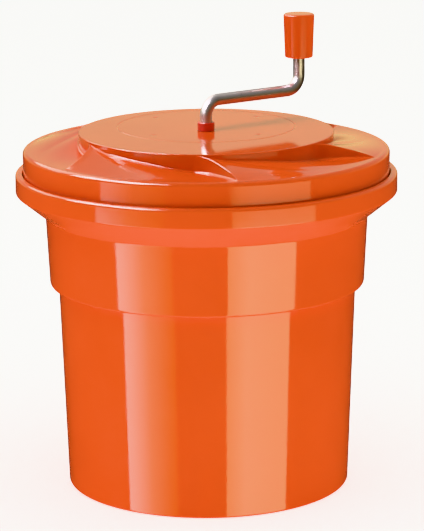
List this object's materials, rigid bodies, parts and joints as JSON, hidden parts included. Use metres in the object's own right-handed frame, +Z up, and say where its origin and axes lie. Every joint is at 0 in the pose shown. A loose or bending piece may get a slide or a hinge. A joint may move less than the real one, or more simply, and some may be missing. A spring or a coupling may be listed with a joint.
{
  "type": "salad spinner",
  "caption": "Hand-cranked salad spinner: stepped tub with flared rim, lid with scooped vanes round a raised disc, bent-rod crank, gear train and slotted basket.",
  "frame": {"origin": "centre of the face that the tub rests on, on the tub's axis", "axes": "+Z up along the crank's and the tub's axis; the layshaft lies towards +Y; at rest the crank's arm points 35 degrees from +X towards +Y"},
  "size_m": [0.33, 0.33, 0.403],
  "materials": {
    "orange_shell": "glossy moulded polypropylene",
    "orange_collar": "satin moulded acetal",
    "white_plastic": "satin natural polypropylene",
    "gear_plastic": "satin natural acetal",
    "stainless": "satin drawn stainless steel",
    "seal_rubber": "matt rubber"
  },
  "bodies": {
    "tub": {"tub": "orange_shell", "pivot_pin": "stainless", "pivot_pin_washer": "seal_rubber", "pivot_pin_nut": "stainless"},
    "pivot_bush": {"pivot_bush": "gear_plastic"},
    "basket": {"basket": "white_plastic"},
    "lid": {"lid": "orange_shell", "crank_bushing": "orange_collar", "gear_cover": "white_plastic", "gear_cover_seal": "seal_rubber", "gear_cover_screw_1": "stainless", "gear_cover_screw_2": "stainless", "gear_cover_screw_3": "stainless", "gear_cover_screw_4": "stainless", "layshaft_pin": "stainless", "output_bush": "gear_plastic"},
    "crank": {"crank_rod": "stainless", "crank_gear": "gear_plastic", "crank_gear_clip": "stainless", "knob_clip": "stainless"},
    "knob": {"knob": "orange_shell"},
    "layshaft": {"compound_gear": "gear_plastic"},
    "drive": {"output_pinion": "gear_plastic", "drive_plate": "white_plastic", "drive_plate_washer": "stainless", "drive_plate_screw": "stainless"}
  },
  "joints": [
    {"name": "lid_lift", "type": "slide", "parent": "tub", "child": "lid", "axis": [0, 0, 1], "range_m": [0, 0.6]},
    {"name": "crank_spin", "type": "hinge", "parent": "lid", "child": "crank", "pos_m": [0, 0, 0.31], "axis": [0, 0, 1], "continuous": true},
    {"name": "knob_spin", "type": "hinge", "parent": "crank", "child": "knob", "pos_m": [0.08192, 0.05736, 0.384], "axis": [0, 0, 1], "continuous": true},
    {"name": "layshaft_spin", "type": "hinge", "parent": "lid", "child": "layshaft", "pos_m": [0, 0.044, 0.293], "axis": [0, 0, 1], "continuous": true},
    {"name": "drive_spin", "type": "hinge", "parent": "lid", "child": "drive", "pos_m": [0, 0, 0.28], "axis": [0, 0, 1], "continuous": true},
    {"name": "bush_spin", "type": "hinge", "parent": "tub", "child": "pivot_bush", "pos_m": [0, 0, 0.035], "axis": [0, 0, 1], "continuous": true},
    {"name": "basket_lift", "type": "slide", "parent": "pivot_bush", "child": "basket", "axis": [0, 0, 1], "range_m": [0, 0.3]}
  ],
  "couplings": [
    {"joint": "layshaft_spin", "follows": "crank_spin", "ratio": -2.1429},
    {"joint": "drive_spin", "follows": "crank_spin", "ratio": 4.5918},
    {"joint": "bush_spin", "follows": "crank_spin", "ratio": 4.5918},
    {"joint": "basket_lift", "follows": "lid_lift", "ratio": 0.5}
  ]
}
